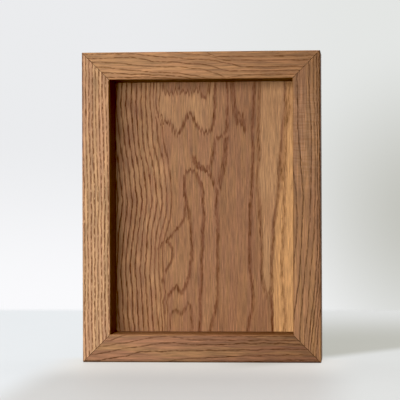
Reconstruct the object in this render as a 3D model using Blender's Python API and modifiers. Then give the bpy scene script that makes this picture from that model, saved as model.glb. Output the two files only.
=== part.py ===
"""An open-fronted oak shadow box that stands on its bottom rail or hangs from two D-rings.

Four deep oak bars, mitred and joined with biscuits, frame a veneered back panel. The panel drops into a
rebate from behind and six turn buttons hold it there.

Metres, +Z up. The front faces -Y. The origin is the centre of the underside, halfway through the depth.
"""

import math

import bmesh
import bpy
from mathutils import Matrix, Vector

# Driving dimensions of the frame.
WIDTH = 0.216
HEIGHT = 0.281
FACE = 0.025
RECESS = 0.045
PANEL_THICKNESS = 0.005
REBATE_WIDTH = 0.008
EASED_EDGE = 0.0012
EASED_EDGE_STEPS = 3

# Clearances: between pieces that touch, and between the panel's edge and its rebate.
GAP = 0.0003
PANEL_PLAY = 0.0005

# Biscuits: lens-shaped beech plates across each mitre, one nearer the front and one nearer the rear.
BISCUIT_LENGTH = 0.030
BISCUIT_WIDTH = 0.0124
BISCUIT_THICKNESS = 0.0032
BISCUIT_DEPTHS = {"front": 0.013, "rear": 0.032}

# Turn buttons and the screw that each one turns on.
BUTTON_PIVOT_RADIUS = 0.0048
BUTTON_TIP_RADIUS = 0.0034
BUTTON_REACH = 0.0155
BUTTON_THICKNESS = 0.0012
BUTTON_HEIGHTS = {"lower": 0.075, "upper": 0.170}

SCREW_RADIUS = 0.0013
SCREW_LENGTH = 0.012
SCREW_POINT = 0.003
HEAD_RADIUS = 0.0028
HEAD_RIM = 0.0007
HEAD_HEIGHT = 0.0017
RECESS_ARM = 0.0030
RECESS_SLOT = 0.0007
RECESS_DEPTH = 0.0009

# D-ring hangers: a strap with a loop at its top end, and a wire ring that swings in the loop.
LOOP_HEIGHT = 0.228
STRAP_WIDTH = 0.0095
STRAP_LENGTH = 0.030
STRAP_THICKNESS = 0.0009
STRAP_HOLES = {"upper": 0.018, "lower": 0.026}
LOOP_WALL = 0.0011
RING_WIRE = 0.0011
RING_HALF_WIDTH = 0.0070
RING_CORNER = 0.0022
RING_SIDE_END = 0.0040

# Wall bumpers on the two lower corners of the rear.
BUMPER_RADIUS = 0.005
BUMPER_HEIGHT = 0.005
BUMPER_ROUNDING = 0.0015
BUMPER_INSET = 0.0125

# How finely round shapes are divided, and the angle above which an edge stays sharp.
ROUND_STEPS = 24
CORNER_STEPS = 4
SHARP_ANGLE = math.radians(50)
WELD = 1e-6

# Places worked out from the above.
DEPTH = RECESS + PANEL_THICKNESS
FRONT = -DEPTH / 2
REAR = DEPTH / 2
ON_REAR = REAR + GAP
LAND = FACE - REBATE_WIDTH
PIVOT_INSET = LAND / 2
LOOP_RADIUS = RING_WIRE + GAP + LOOP_WALL
LOOP_AXIS_Y = ON_REAR + LOOP_RADIUS
HALF_TURN = math.pi
QUARTER_TURN = math.pi / 2
FACING_REAR = Matrix.Rotation(-QUARTER_TURN, 4, "X")


# ---------------------------------------------------------------- scene and materials


def clear_scene():
    for obj in list(bpy.data.objects):
        bpy.data.objects.remove(obj)


def new_collection(name):
    collection = bpy.data.collections.new(name)
    bpy.context.scene.collection.children.link(collection)
    return collection


def material(name, colour, roughness, metallic=0.0):
    made = bpy.data.materials.new(name)
    made.use_nodes = True
    shader = made.node_tree.nodes["Principled BSDF"]
    shader.inputs["Base Color"].default_value = (*colour, 1.0)
    shader.inputs["Roughness"].default_value = roughness
    shader.inputs["Metallic"].default_value = metallic
    return made


def add_piece(name, mesh, matrix, finish):
    piece = bpy.data.objects.new(name, mesh)
    piece.matrix_world = matrix
    if not mesh.materials:
        mesh.materials.append(finish)
    PARTS.objects.link(piece)
    return piece


def add_cutter(name, mesh, matrix):
    cutter = bpy.data.objects.new(name, mesh)
    cutter.matrix_world = matrix
    cutter.hide_render = True
    cutter.display_type = "WIRE"
    CUTTERS.objects.link(cutter)
    return cutter


def cut(piece, cutter):
    boolean = piece.modifiers.new(cutter.name, "BOOLEAN")
    boolean.operation = "DIFFERENCE"
    boolean.object = cutter


def join(piece, other):
    boolean = piece.modifiers.new(other.name, "BOOLEAN")
    boolean.operation = "UNION"
    boolean.object = other


def settled_mesh(obj):
    """The object's mesh, with its modifiers applied and its caps welded. The object is removed."""
    bpy.context.view_layer.update()
    graph = bpy.context.evaluated_depsgraph_get()
    mesh = bpy.data.meshes.new_from_object(obj.evaluated_get(graph))
    mesh.transform(obj.matrix_world)
    for modifier in obj.modifiers:
        if modifier.type == "BOOLEAN":
            bpy.data.objects.remove(modifier.object)
    bpy.data.objects.remove(obj)
    shape = bmesh.new()
    shape.from_mesh(mesh)
    bmesh.ops.remove_doubles(shape, verts=shape.verts, dist=WELD)
    bmesh.ops.recalc_face_normals(shape, faces=shape.faces)
    shape.to_mesh(mesh)
    shape.free()
    mesh.shade_smooth()
    mesh.set_sharp_from_angle(angle=SHARP_ANGLE)
    return mesh


# ---------------------------------------------------------------- basic shapes


def box_mesh(name, size):
    """A box centred on its origin."""
    shape = bmesh.new()
    bmesh.ops.create_cube(shape, size=1.0)
    bmesh.ops.scale(shape, vec=size, verts=shape.verts)
    mesh = bpy.data.meshes.new(name)
    shape.to_mesh(mesh)
    shape.free()
    return mesh


def rod_mesh(name, radius, length):
    """A cylinder on the Z axis, centred on its origin."""
    shape = bmesh.new()
    bmesh.ops.create_cone(
        shape, cap_ends=True, segments=ROUND_STEPS, radius1=radius, radius2=radius, depth=length
    )
    mesh = bpy.data.meshes.new(name)
    shape.to_mesh(mesh)
    shape.free()
    return mesh


def circle_outline(radius, centre=(0.0, 0.0)):
    turns = (step * 2 * math.pi / ROUND_STEPS for step in range(ROUND_STEPS))
    return [(centre[0] + radius * math.cos(a), centre[1] + radius * math.sin(a)) for a in turns]


def arc(centre, radius, start, end, steps):
    angles = (start + (end - start) * step / steps for step in range(steps + 1))
    return [(centre[0] + radius * math.cos(a), centre[1] + radius * math.sin(a)) for a in angles]


def plate_mesh(name, outlines, thickness):
    """A flat plate in the XY plane, centred on its thickness. Outlines after the first are holes."""
    flat = bpy.data.curves.new(name, "CURVE")
    flat.dimensions = "2D"
    flat.fill_mode = "BOTH"
    flat.extrude = thickness / 2
    for outline in outlines:
        spline = flat.splines.new("POLY")
        spline.points.add(len(outline) - 1)
        for point, (x, y) in zip(spline.points, outline):
            point.co = (x, y, 0.0, 1.0)
        spline.use_cyclic_u = True
    holder = bpy.data.objects.new(name, flat)
    PARTS.objects.link(holder)
    return settled_mesh(holder)


def turned_mesh(name, profile):
    """A solid turned about Z. The profile lists (radius, height) down its outer side, top to bottom."""
    shape = bmesh.new()
    ends = [shape.verts.new((radius, 0.0, height)) for radius, height in profile]
    for upper, lower in zip(ends, ends[1:]):
        shape.edges.new((upper, lower))
    mesh = bpy.data.meshes.new(name)
    shape.to_mesh(mesh)
    shape.free()
    holder = bpy.data.objects.new(name, mesh)
    PARTS.objects.link(holder)
    turn = holder.modifiers.new("turn", "SCREW")
    turn.steps = ROUND_STEPS
    turn.render_steps = ROUND_STEPS
    turn.use_merge_vertices = True
    turn.merge_threshold = WELD
    return settled_mesh(holder)


# ---------------------------------------------------------------- the oak frame


def rail_mesh(name, length):
    """A bar along X with mitred ends. Its outer edge is at z 0 and its shorter inner edge at z FACE."""
    mesh = box_mesh(name, (length, DEPTH, FACE))
    mitre_setback = GAP / 2 * math.sqrt(2)
    shape = bmesh.new()
    shape.from_mesh(mesh)
    for corner in shape.verts:
        inner = corner.co.z > 0
        setback = mitre_setback + (FACE if inner else 0.0)
        corner.co.x -= math.copysign(setback, corner.co.x)
        corner.co.z += FACE / 2
    weights = shape.edges.layers.float.new("bevel_weight_edge")
    for edge in shape.edges:
        middle = (edge.verts[0].co + edge.verts[1].co) / 2
        runs_along = abs(edge.verts[0].co.x - edge.verts[1].co.x) > FACE * 2
        cut_by_rebate = middle.y > 0 and middle.z > FACE / 2
        if runs_along and not cut_by_rebate:
            edge[weights] = 1.0
    shape.to_mesh(mesh)
    shape.free()
    return mesh


def ease_edges(piece):
    bevel = piece.modifiers.new("eased_edges", "BEVEL")
    bevel.limit_method = "WEIGHT"
    bevel.width = EASED_EDGE
    bevel.segments = EASED_EDGE_STEPS


def rails():
    """The four bars, by name, each with its outer edge on the frame's outline."""
    flat = {
        "bottom_rail": (WIDTH, Vector((0, 0, 0)), 0.0),
        "top_rail": (WIDTH, Vector((0, 0, HEIGHT)), HALF_TURN),
        "left_stile": (HEIGHT, Vector((-WIDTH / 2, 0, HEIGHT / 2)), QUARTER_TURN),
        "right_stile": (HEIGHT, Vector((WIDTH / 2, 0, HEIGHT / 2)), -QUARTER_TURN),
    }
    made = {}
    for name, (length, place, turn) in flat.items():
        matrix = Matrix.Translation(place) @ Matrix.Rotation(turn, 4, "Y")
        made[name] = add_piece(name, rail_mesh(name, length), matrix, OAK)
        ease_edges(made[name])
    return made


def cut_rebate(frame):
    """The step round the rear of the opening that the back panel drops into."""
    span_x = WIDTH - 2 * LAND
    span_z = HEIGHT - 2 * LAND
    step = PANEL_THICKNESS + GAP
    overrun = step
    mesh = box_mesh("rebate", (span_x, step + overrun, span_z))
    middle_y = REAR - step + (step + overrun) / 2
    cutter = add_cutter("rebate", mesh, Matrix.Translation((0, middle_y, HEIGHT / 2)))
    for rail in frame.values():
        cut(rail, cutter)


def lens_outline(length, width):
    """Two equal arcs that meet in points at both ends."""
    half, rise = length / 2, width / 2
    radius = (half**2 + rise**2) / (2 * rise)
    spread = math.asin(half / radius)
    steps = ROUND_STEPS // 2
    upper = arc((0, rise - radius), radius, QUARTER_TURN - spread, QUARTER_TURN + spread, steps)
    lower = [(-x, -y) for x, y in upper]
    return upper[:-1] + lower[:-1]


def join_corners(frame):
    """Two biscuits across each mitre, and the slots that hold them."""
    biscuit = plate_mesh("biscuit", [lens_outline(BISCUIT_LENGTH, BISCUIT_WIDTH)], BISCUIT_THICKNESS)
    slot_outline = lens_outline(BISCUIT_LENGTH + 2 * GAP, BISCUIT_WIDTH + 2 * GAP)
    slot = plate_mesh("biscuit_slot", [slot_outline], BISCUIT_THICKNESS + 2 * GAP)
    for level, side_z, end_rail in (("top", 1, "top_rail"), ("bottom", -1, "bottom_rail")):
        for side, side_x, stile in (("left", -1, "left_stile"), ("right", 1, "right_stile")):
            x = side_x * (WIDTH - FACE) / 2
            z = HEIGHT / 2 + side_z * (HEIGHT - FACE) / 2
            along_mitre = Matrix.Rotation(-side_x * side_z * math.pi / 4, 4, "Y")
            for place, depth in BISCUIT_DEPTHS.items():
                matrix = Matrix.Translation((x, FRONT + depth, z)) @ along_mitre @ FACING_REAR
                add_piece(f"biscuit_{level}_{side}_{place}", biscuit, matrix, BEECH)
                cutter = add_cutter(f"slot_{level}_{side}_{place}", slot, matrix)
                cut(frame[end_rail], cutter)
                cut(frame[stile], cutter)


def back_panel():
    size_x = WIDTH - 2 * LAND - 2 * PANEL_PLAY
    size_z = HEIGHT - 2 * LAND - 2 * PANEL_PLAY
    mesh = box_mesh("back_panel", (size_x, PANEL_THICKNESS, size_z))
    add_piece("back_panel", mesh, Matrix.Translation((0, REAR - PANEL_THICKNESS / 2, HEIGHT / 2)), VENEER)


# ---------------------------------------------------------------- screws


def screw_mesh():
    """A pan-head wood screw with a cross recess. It points along -Z, with the head's underside at z 0."""
    dome = []
    for step in range(CORNER_STEPS + 1):
        angle = QUARTER_TURN * step / CORNER_STEPS
        rise = (HEAD_HEIGHT - HEAD_RIM) * math.cos(angle)
        dome.append((HEAD_RADIUS * math.sin(angle), HEAD_RIM + rise))
    shank = [
        (HEAD_RADIUS, 0.0),
        (SCREW_RADIUS, 0.0),
        (SCREW_RADIUS, SCREW_POINT - SCREW_LENGTH),
        (0.0, -SCREW_LENGTH),
    ]
    screw = bpy.data.objects.new("screw", turned_mesh("screw_blank", dome + shank))
    PARTS.objects.link(screw)
    slot = box_mesh("recess", (RECESS_ARM, RECESS_SLOT, 2 * RECESS_DEPTH))
    on_top = Matrix.Translation((0, 0, HEAD_HEIGHT))
    for turn in (0.0, QUARTER_TURN):
        cut(screw, add_cutter("recess", slot, on_top @ Matrix.Rotation(turn, 4, "Z")))
    return settled_mesh(screw)


def drive_screw(name, rail, x, z, under_head, mesh):
    """A screw from the rear at (x, z), its head's underside at y under_head, and its hole in the rail."""
    matrix = Matrix.Translation((x, under_head, z)) @ FACING_REAR
    add_piece(name, mesh, matrix, STEEL)
    hole_bottom = under_head - SCREW_LENGTH - GAP
    overrun = FACE / 5
    length = REAR - hole_bottom + overrun
    middle = Matrix.Translation((x, hole_bottom + length / 2, z)) @ FACING_REAR
    cut(rail, add_cutter("hole_for_" + name, rod_mesh("hole", SCREW_RADIUS + GAP, length), middle))


# ---------------------------------------------------------------- turn buttons


def button_mesh():
    """A flat plate that tapers from its pivot, at the origin, to a round tip along +X."""
    lean = math.asin((BUTTON_PIVOT_RADIUS - BUTTON_TIP_RADIUS) / BUTTON_REACH)
    side = QUARTER_TURN - lean
    tip = arc((BUTTON_REACH, 0), BUTTON_TIP_RADIUS, -side, side, ROUND_STEPS // 2)
    heel = arc((0, 0), BUTTON_PIVOT_RADIUS, side, 2 * math.pi - side, ROUND_STEPS // 2)
    hole = circle_outline(SCREW_RADIUS + GAP)
    return plate_mesh("turn_button", [tip + heel, hole], BUTTON_THICKNESS)


def turn_buttons(frame, screw):
    """Six buttons on the rear, each closed: its tip lies over the back panel."""
    side_x = WIDTH / 2 - PIVOT_INSET
    places = {
        "top": ("top_rail", 0.0, HEIGHT - PIVOT_INSET, QUARTER_TURN),
        "bottom": ("bottom_rail", 0.0, PIVOT_INSET, -QUARTER_TURN),
    }
    for level, z in BUTTON_HEIGHTS.items():
        places["left_" + level] = ("left_stile", -side_x, z, 0.0)
        places["right_" + level] = ("right_stile", side_x, z, HALF_TURN)
    button = button_mesh()
    middle_y = ON_REAR + BUTTON_THICKNESS / 2
    under_head = ON_REAR + BUTTON_THICKNESS + GAP
    for name, (rail, x, z, turn) in places.items():
        matrix = Matrix.Translation((x, middle_y, z)) @ Matrix.Rotation(turn, 4, "Y") @ FACING_REAR
        add_piece("turn_button_" + name, button, matrix, STEEL)
        drive_screw("turn_button_screw_" + name, frame[rail], x, z, under_head, screw)


# ---------------------------------------------------------------- hangers and bumpers


def strap_mesh():
    """A strap hanging down -Y from its loop, which turns about X through the origin. Its plate is below."""
    half = STRAP_WIDTH / 2
    end = arc((0, half - STRAP_LENGTH), half, -math.pi, 0.0, ROUND_STEPS // 2)
    outline = [(half, 0.0), (-half, 0.0)] + end
    holes = [circle_outline(SCREW_RADIUS + GAP, (0, -down)) for down in STRAP_HOLES.values()]
    plate = plate_mesh("strap_plate", [outline] + holes, STRAP_THICKNESS)
    loop_outlines = [circle_outline(LOOP_RADIUS), circle_outline(LOOP_RADIUS - LOOP_WALL)]
    loop = plate_mesh("strap_loop", loop_outlines, STRAP_WIDTH)
    strap = bpy.data.objects.new("hanger_strap", plate)
    strap.location.z = STRAP_THICKNESS / 2 - LOOP_RADIUS
    PARTS.objects.link(strap)
    join(strap, add_cutter("strap_loop", loop, Matrix.Rotation(QUARTER_TURN, 4, "Y")))
    return settled_mesh(strap)


def ring_mesh():
    """A D of wire in the XZ plane: the straight bar lies on the X axis and the bow hangs below it."""
    bar_half = RING_HALF_WIDTH - RING_CORNER
    corner = arc((bar_half, -RING_CORNER), RING_CORNER, QUARTER_TURN, 0.0, CORNER_STEPS)
    bow = arc((0, -RING_SIDE_END), RING_HALF_WIDTH, 0.0, -HALF_TURN, 4 * CORNER_STEPS)
    far_corner = [(-x, z) for x, z in reversed(corner)]
    outline = corner + bow + far_corner
    wire = bpy.data.curves.new("hanger_ring", "CURVE")
    wire.dimensions = "3D"
    wire.bevel_depth = RING_WIRE
    wire.bevel_resolution = 2
    spline = wire.splines.new("POLY")
    spline.points.add(len(outline) - 1)
    for point, (x, z) in zip(spline.points, outline):
        point.co = (x, 0.0, z, 1.0)
    spline.use_cyclic_u = True
    holder = bpy.data.objects.new("hanger_ring", wire)
    PARTS.objects.link(holder)
    return settled_mesh(holder)


def hangers(frame, screw):
    strap = strap_mesh()
    ring = ring_mesh()
    under_head = ON_REAR + STRAP_THICKNESS + GAP
    upright_on_rear = Matrix.Rotation(HALF_TURN, 4, "Z") @ Matrix.Rotation(QUARTER_TURN, 4, "X")
    for side, rail, x in (
        ("left", "left_stile", PIVOT_INSET - WIDTH / 2),
        ("right", "right_stile", WIDTH / 2 - PIVOT_INSET),
    ):
        axis = Matrix.Translation((x, LOOP_AXIS_Y, LOOP_HEIGHT))
        add_piece("hanger_strap_" + side, strap, axis @ upright_on_rear, STEEL)
        add_piece("hanger_ring_" + side, ring, axis, STEEL)
        for level, down in STRAP_HOLES.items():
            name = f"hanger_screw_{side}_{level}"
            drive_screw(name, frame[rail], x, LOOP_HEIGHT - down, under_head, screw)


def bumpers():
    centre = (BUMPER_RADIUS - BUMPER_ROUNDING, BUMPER_HEIGHT - BUMPER_ROUNDING)
    rounding = arc(centre, BUMPER_ROUNDING, QUARTER_TURN, 0.0, CORNER_STEPS)
    profile = [(0.0, BUMPER_HEIGHT)] + rounding + [(BUMPER_RADIUS, 0.0), (0.0, 0.0)]
    mesh = turned_mesh("bumper", profile)
    for side, sign in (("left", -1), ("right", 1)):
        x = sign * (WIDTH / 2 - BUMPER_INSET)
        matrix = Matrix.Translation((x, ON_REAR, BUMPER_INSET)) @ FACING_REAR
        add_piece("bumper_" + side, mesh, matrix, RUBBER)


# ---------------------------------------------------------------- assembly

clear_scene()
PARTS = new_collection("shadow_box")
CUTTERS = new_collection("cutters")

OAK = material("oak", (0.42, 0.24, 0.12), 0.55)
VENEER = material("oak_veneer", (0.38, 0.21, 0.11), 0.6)
BEECH = material("beech", (0.62, 0.45, 0.29), 0.8)
STEEL = material("zinc_plated_steel", (0.66, 0.66, 0.64), 0.32, 1.0)
RUBBER = material("bumper_rubber", (0.06, 0.055, 0.05), 0.75)

oak_frame = rails()
cut_rebate(oak_frame)
join_corners(oak_frame)
back_panel()
screw_shape = screw_mesh()
turn_buttons(oak_frame, screw_shape)
hangers(oak_frame, screw_shape)
bumpers()
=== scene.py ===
import math

import bmesh
import bpy
import numpy as np
from mathutils import Matrix, Vector


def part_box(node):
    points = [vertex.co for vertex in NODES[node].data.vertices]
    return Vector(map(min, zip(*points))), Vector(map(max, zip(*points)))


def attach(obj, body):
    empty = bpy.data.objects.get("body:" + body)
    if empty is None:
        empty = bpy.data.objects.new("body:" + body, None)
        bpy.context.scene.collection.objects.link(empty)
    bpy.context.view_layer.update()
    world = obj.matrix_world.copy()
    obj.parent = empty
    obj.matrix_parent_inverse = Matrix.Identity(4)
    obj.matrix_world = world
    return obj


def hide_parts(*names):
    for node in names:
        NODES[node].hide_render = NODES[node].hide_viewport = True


# The looks of the oak shadow box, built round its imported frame. Metres, +Z up, the front faces -Y.
# The wood's figure and its colours are worked out in millimetres.

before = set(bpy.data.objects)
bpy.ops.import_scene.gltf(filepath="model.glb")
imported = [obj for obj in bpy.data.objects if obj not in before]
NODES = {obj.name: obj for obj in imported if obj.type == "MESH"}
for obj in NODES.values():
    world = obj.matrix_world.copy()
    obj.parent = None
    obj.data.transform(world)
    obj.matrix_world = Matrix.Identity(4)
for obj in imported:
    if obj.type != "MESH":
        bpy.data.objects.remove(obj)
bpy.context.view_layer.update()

MM = 0.001
GAP = 0.3 * MM
TURN = 2 * math.pi

# ---- sizes, read from the frame

LEFT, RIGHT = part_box("left_stile"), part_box("right_stile")
BOTTOM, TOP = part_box("bottom_rail"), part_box("top_rail")
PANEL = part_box("back_panel")

WIDTH = RIGHT[1].x - LEFT[0].x
HEIGHT = TOP[1].z - BOTTOM[0].z
FACE = LEFT[1].x - LEFT[0].x
FRONT, REAR = LEFT[0].y, LEFT[1].y
PANEL_PLAY = 0.5 * MM
LAND = PANEL[0].x - PANEL_PLAY + WIDTH / 2
REBATE_Y = PANEL[0].y - GAP
EASED_EDGE = 1.2 * MM
MITRE_SETBACK = GAP / 2 * math.sqrt(2)

SIDES = ("left", "right")
BUTTONS = ("top", "bottom", "left_lower", "left_upper", "right_lower", "right_upper")
STRAP_SCREWS = [f"{side}_{level}" for side in SIDES for level in ("upper", "lower")]


# ---- mesh tools


def mesh_of(name, points, faces):
    """A mesh whose faces all point outwards."""
    mesh = bpy.data.meshes.new(name)
    mesh.from_pydata(np.asarray(points, float).reshape(-1, 3).tolist(), [], faces)
    shape = bmesh.new()
    shape.from_mesh(mesh)
    bmesh.ops.recalc_face_normals(shape, faces=shape.faces)
    shape.to_mesh(mesh)
    shape.free()
    return mesh


def skin(name, loops, closed=False):
    """A mesh over equal loops of points: loops[i][j] is point j of loop i. Open ends get flat caps."""
    loops = np.asarray(loops, float)
    count, around = loops.shape[:2]
    index = np.arange(count * around).reshape(count, around)
    ahead = np.roll(index, -1, axis=0)
    if not closed:
        index, ahead = index[:-1], ahead[:-1]
    corners = (index, np.roll(index, -1, 1), np.roll(ahead, -1, 1), ahead)
    faces = np.stack(corners, -1).reshape(-1, 4).tolist()
    if not closed:
        faces += [list(range(around)), list(range((count - 1) * around, count * around))]
    return mesh_of(name, loops, faces)


def circle(radius, steps=32):
    turns = np.arange(steps) * TURN / steps
    return np.stack([radius * np.cos(turns), radius * np.sin(turns)], -1)


def level(outline, z):
    """A flat outline as a loop at height z."""
    return np.column_stack([outline, np.full(len(outline), z)])


def turned_loops(profile, steps):
    """The loops of a solid turned about Z from (radius, height) pairs."""
    return [level(circle(radius, steps), z) for radius, z in profile]


def arc(centre, radius, start, end, steps):
    angles = np.radians(np.linspace(start, end, steps + 1))
    return [(centre[0] + radius * math.cos(a), centre[1] + radius * math.sin(a)) for a in angles]


def straight(start, end, step):
    """Points from start towards end, about a step apart, without the end itself."""
    start, end = np.array(start), np.array(end)
    count = max(1, round(float(np.linalg.norm(end - start)) / step))
    return [tuple(start + (end - start) * i / count) for i in range(count)]


def moved(mesh, matrix):
    mesh.transform(matrix)
    return mesh


def copied(mesh, place, turn=Matrix()):
    """A copy of the mesh, turned and then moved to a place."""
    return moved(mesh.copy(), Matrix.Translation(place) @ turn)


def joined(name, meshes, weld=0.0):
    """One mesh that holds several. Corners that lie within weld of each other become one."""
    shape = bmesh.new()
    for mesh in meshes:
        shape.from_mesh(mesh)
    if weld:
        bmesh.ops.remove_doubles(shape, verts=shape.verts, dist=weld)
    whole = bpy.data.meshes.new(name)
    shape.to_mesh(whole)
    shape.free()
    return whole


def link(name, mesh):
    made = bpy.data.objects.new(name, mesh)
    bpy.context.scene.collection.objects.link(made)
    return made


def cut(mesh, cutter):
    """The mesh with the cutter taken out of it."""
    body, tool = link(mesh.name + "_uncut", mesh), link("cutter", cutter)
    boolean = body.modifiers.new("cut", "BOOLEAN")
    boolean.object = tool
    bpy.context.view_layer.update()
    result = bpy.data.meshes.new_from_object(body.evaluated_get(bpy.context.evaluated_depsgraph_get()))
    for used in (body, tool):
        bpy.data.objects.remove(used)
    return result


def vectors(items, field):
    """The vector that each of a mesh's items holds in a field, as rows."""
    found = np.empty(len(items) * 3)
    items.foreach_get(field, found)
    return found.reshape(-1, 3)


def move_vertices(mesh, points):
    mesh.vertices.foreach_set("co", points.ravel())
    mesh.update()


def paint(mesh, name, values):
    """Stores one number a vertex, which the material reads by name."""
    attribute = mesh.attributes.new(name, "FLOAT", "POINT")
    attribute.data.foreach_set("value", np.asarray(values, np.float32))


def add_piece(name, mesh, finish, body, *nodes, sharp=40):
    """A piece that stands for CAD nodes and rides on their body. A finish is a material and a slot name;
    the slot name is not used.
    """
    material, slot = finish
    mesh.shade_smooth()
    mesh.set_sharp_from_angle(angle=math.radians(sharp))
    mesh.materials.clear()
    mesh.materials.append(material)
    piece = link(name, mesh)
    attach(piece, body)
    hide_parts(*nodes)


# ---- smooth fields

FAR = 1e9
TINY = 1e-12


def ripple(seed, along, across, long_wave, cross_wave, count=6):
    """A smooth random field of about -1 to 1, with waves about so long along and across the grain."""
    draw = np.random.default_rng(seed)
    total = 0.0
    for _ in range(count):
        k_along = TURN / long_wave * draw.uniform(0.55, 1.6)
        k_across = TURN / cross_wave * draw.uniform(-1.0, 1.0)
        total = total + np.sin(k_along * along + k_across * across + draw.uniform(0, TURN))
    return total / math.sqrt(count)


def smooth(value, start, end):
    """0 before start, 1 after end, and an even S-curve between."""
    t = np.clip((value - start) / (end - start), 0.0, 1.0)
    return t * t * (3 - 2 * t)


def hill(value, centre, width):
    return np.exp(-(((value - centre) / width) ** 2))


def curve_through(points, steps=6):
    """A smooth open curve through the points (Catmull-Rom)."""
    p = np.array(points, float)
    p = np.vstack([2 * p[0] - p[1], p, 2 * p[-1] - p[-2]])
    made = []
    for a, b, c, d in zip(p, p[1:], p[2:], p[3:]):
        bend, twist = 2 * a - 5 * b + 4 * c - d, 3 * b - a - 3 * c + d
        for t in np.arange(steps) / steps:
            made.append(0.5 * (2 * b + (c - a) * t + bend * t**2 + twist * t**3))
    made.append(p[-2])
    return np.array(made)


def distance_to(x, z, line):
    """How far each place lies from a line of points."""
    nearest = np.full(x.shape, FAR)
    for (ax, az), (bx, bz) in zip(line, line[1:]):
        dx, dz = bx - ax, bz - az
        t = np.clip(((x - ax) * dx + (z - az) * dz) / max(dx * dx + dz * dz, TINY), 0, 1)
        nearest = np.minimum(nearest, np.hypot(x - ax - t * dx, z - az - t * dz))
    return nearest


def depth_inside(x, z, outline):
    """How far each place lies inside a closed outline. Outside it the depth is below 0."""
    closed = np.vstack([outline, outline[:1]])
    inside = np.zeros(x.shape, bool)
    for (ax, az), (bx, bz) in zip(closed, closed[1:]):
        if az != bz:
            inside ^= ((az > z) != (bz > z)) & (x < (bx - ax) * (z - az) / (bz - az) + ax)
    nearest = distance_to(x, z, closed)
    return np.where(inside, nearest, -nearest)


# ---- the growth rings of each bar, in mm
# u runs along the bar from its middle, v from the outer edge inwards and y back from the front face.
# The rings' dark lines are where the result passes a whole number and a half.

BAR_LINE_WIDTH = 2.7
BAR_SPACING = 4.0

# How far the rings lean inwards for each mm back, and how far in their lines are drawn.
RING_SLANT = 0.5
DRAWN_TO = 27

# Each ring line on a bar's front face, as (u, v) places along it. Below 0 or past 25 it has run off.
# Each bar's seed for the lines' ripples comes first.
RING_LINES = {
    "top_rail": (31,
        ((-40, -1), (-10, 2), (11, 4.5), (50, 5), (108, 4.5)),
        ((0, -3), (13, 5.5), (22, 8), (60, 8.5), (108, 8.5)),
        ((-60, 1.5), (-41, 4), (-23, 5.5), (-4, 7), (13, 8.5), (28, 11.5), (36, 14), (60, 14.5), (108, 14)),
        ((-108, 5), (-90, 5.5), (-63, 4.5), (-50, 6.5), (-44, 8.5), (-32, 9), (-5, 11), (4, 12), (13, 14),
         (19, 16.5), (27, 18), (108, 18)),
        ((-108, 8), (-88, 9), (-68, 10.5), (-50, 13), (-14, 14), (-2, 15.5), (7, 17.5), (16, 20.5),
         (26, 26)),
        ((-108, 12), (-86, 13.5), (-72, 15.5), (-57, 17), (-45, 18), (-20, 19.5), (-5, 21.5), (12, 27)),
        ((-90, 18), (-65, 20), (-36, 21), (-18, 22.5), (-4, 25), (10, 29)),
        ((-90, 22.5), (-63, 23), (-45, 22.5), (-30, 24), (-18, 26)),
        ((10, 27), (30, 23), (40, 21.5), (108, 21)),
    ),
    "bottom_rail": (41,
        ((20, -2), (50, 1.5), (90, 2.5), (108, 2.5)),
        ((-40, -1), (-26, 1.5), (-14, 3.5), (0, 4), (20, 5), (50, 6.5), (90, 7)),
        ((-92, 1.5), (-81, 4), (-68, 5.5), (-63, 7.5), (-56, 9.5), (-36, 10), (-23, 10.5), (18, 11),
         (49, 11.5), (67, 12.5), (90, 12)),
        ((-95, 7.5), (-88, 8.5), (-77, 11), (-68, 13), (-57, 14), (-45, 16), (-36, 17.5), (-26, 17.5),
         (-18, 17), (-9, 16), (18, 16), (35, 17), (70, 17.5), (92, 16)),
        ((-90, 14), (-81, 16), (-68, 17.5), (-59, 19.5), (-50, 21.5), (-41, 23), (-29, 24), (-23, 23),
         (-14, 21), (-5, 20.5), (90, 20)),
        ((-84, 19.5), (-79, 21), (-72, 24), (-66, 26), (-20, 30), (-5, 26), (10, 24), (90, 23.5)),
    ),
    "right_stile": (21,
        ((-130, 4.5), (-116, 3), (-102, 2), (-85, -1), (-60, -4)),
        ((-125, 6.5), (-111, 5), (-98, 3), (-84, 2), (-60, -0.5), (-40, -3)),
        ((-125, 9.5), (-111, 7.5), (-98, 6), (-75, 3), (-57, 2), (-40, 1), (0, 0.5), (130, 1)),
        ((-120, 11), (-98, 8.5), (-84, 6.5), (-62, 4.5), (-35, 2.5), (0, 2.5), (60, 2.5), (127, 3)),
        ((-115, 15), (-98, 12), (-75, 10.5), (-53, 8.5), (-35, 7), (-21, 5.5), (6, 5), (35, 4), (60, 4.5),
         (87, 5), (104, 6), (132, 6)),
        ((-114, 19), (-95, 17.5), (-75, 16), (-62, 14.5), (-39, 12), (-26, 11), (-12, 9.5), (10, 9),
         (37, 8), (73, 8), (91, 9.5), (130, 10)),
        ((-111, 25.5), (-89, 23), (-66, 19.5), (-44, 18), (-17, 16.5), (6, 15.5), (19, 16), (45, 18),
         (69, 20), (118, 20.5)),
        ((-70, 26), (-55, 24.5), (-39, 23), (-19, 21), (-8, 21), (15, 22), (28, 24), (42, 25.5), (60, 28)),
    ),
}


def drawn_rings(u, v, y, seed, *lines):
    """Rises by one across each line given, and evenly past the last, where the front face has ended."""
    a = v + RING_SLANT * y
    a = a + 0.22 * ripple(seed, u, a, 26, 40) + 0.10 * ripple(seed + 1, u, a, 8, 12)
    total = np.maximum(a - DRAWN_TO, 0) / BAR_SPACING
    width = BAR_LINE_WIDTH * (0.6 + 0.4 * smooth(v, 0, 1.2))
    for line in lines:
        total = total + np.clip((a - np.interp(u, *zip(*line))) / width + 0.5, 0, 1)
    return total


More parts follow.
